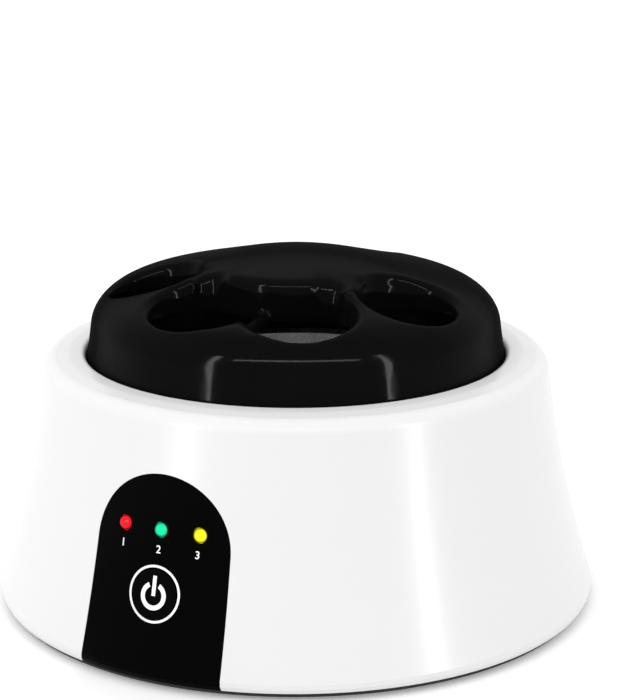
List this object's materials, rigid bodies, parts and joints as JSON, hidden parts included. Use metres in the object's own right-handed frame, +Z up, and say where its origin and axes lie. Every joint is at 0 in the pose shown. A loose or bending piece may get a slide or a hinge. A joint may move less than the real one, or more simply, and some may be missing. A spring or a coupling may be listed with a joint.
{
  "type": "gel polish remover machine",
  "caption": "Flared white nail polish remover body with a heated bowl, an arched black control panel with lamps and power button, and a soft black cover with finger holes.",
  "frame": {"origin": "on the standing surface, under the middle of the body", "axes": "+Z up, -Y towards the side with the control panel, +X to the right of a person facing the panel"},
  "size_m": [0.1724, 0.1724, 0.1004],
  "materials": {
    "white_abs": "glossy moulded ABS",
    "panel_black": "high-gloss black plastic",
    "button_black": "glossy black plastic with a printed ring and symbol",
    "plunger_plastic": "moulded nylon",
    "switch_black": "moulded switch case",
    "lamp_red": "clear red epoxy",
    "lamp_green": "clear green epoxy",
    "lamp_yellow": "clear yellow epoxy",
    "board_green": "solder mask on glass fibre board",
    "chip_black": "moulded chip cases",
    "socket_nylon": "natural nylon",
    "screw_zinc": "zinc-plated steel",
    "base_black": "textured black ABS",
    "screw_steel": "plated steel",
    "foot_rubber": "matt rubber",
    "jack_black": "moulded nylon",
    "jack_contact": "nickel-plated pin",
    "jack_nut_steel": "plated steel",
    "bowl_aluminium": "spun aluminium",
    "stud_steel": "plated steel, welded on",
    "seal_silicone": "red silicone rubber",
    "heater_metal": "etched foil element between mica sheets",
    "clamp_steel": "galvanised steel",
    "insulation_felt": "ceramic fibre felt",
    "liner_plastic": "glass-filled nylon",
    "washer_steel": "plated steel",
    "nut_steel": "plated steel",
    "thermostat_ceramic": "ceramic and aluminium disc thermostat",
    "fuse_metal": "tinned metal case",
    "probe_epoxy": "epoxy bead",
    "lead_red_pvc": "PVC insulation",
    "lead_white_silicone": "silicone insulation",
    "cover_silicone": "satin black silicone rubber"
  },
  "bodies": {
    "body": {"outer_shell": "white_abs", "control_panel": "panel_black", "tact_switch": "switch_black", "led_red": "lamp_red", "led_green": "lamp_green", "led_yellow": "lamp_yellow", "control_board": "board_green", "board_chips": "chip_black", "lead_sockets": "socket_nylon", "board_screws": "screw_zinc", "base_plate": "base_black", "base_screws": "screw_steel", "rubber_feet": "foot_rubber", "dc_jack": "jack_black", "jack_pin": "jack_contact", "jack_nut": "jack_nut_steel", "steam_bowl": "bowl_aluminium", "bowl_stud": "stud_steel", "bowl_seal": "seal_silicone", "heater_plate": "heater_metal", "clamp_plate": "clamp_steel", "insulation_pad": "insulation_felt", "liner_cup": "liner_plastic", "stud_washer": "washer_steel", "stud_nut": "nut_steel", "thermostat": "thermostat_ceramic", "thermal_fuse": "fuse_metal", "temperature_probe": "probe_epoxy", "power_leads": "lead_red_pvc", "heater_leads": "lead_white_silicone"},
    "button": {"power_button": "button_black", "switch_plunger": "plunger_plastic"},
    "cover": {"finger_cover": "cover_silicone"}
  },
  "joints": [
    {"name": "button_press", "type": "slide", "parent": "body", "child": "button", "axis": [0, 0.9743, -0.2251], "range_m": [0, 0.0005], "stiffness_N_per_m": 1500, "springref_m": -0.0005},
    {"name": "cover_lift", "type": "slide", "parent": "body", "child": "cover", "axis": [0, 0, 1], "range_m": [0, 0.06]}
  ]
}
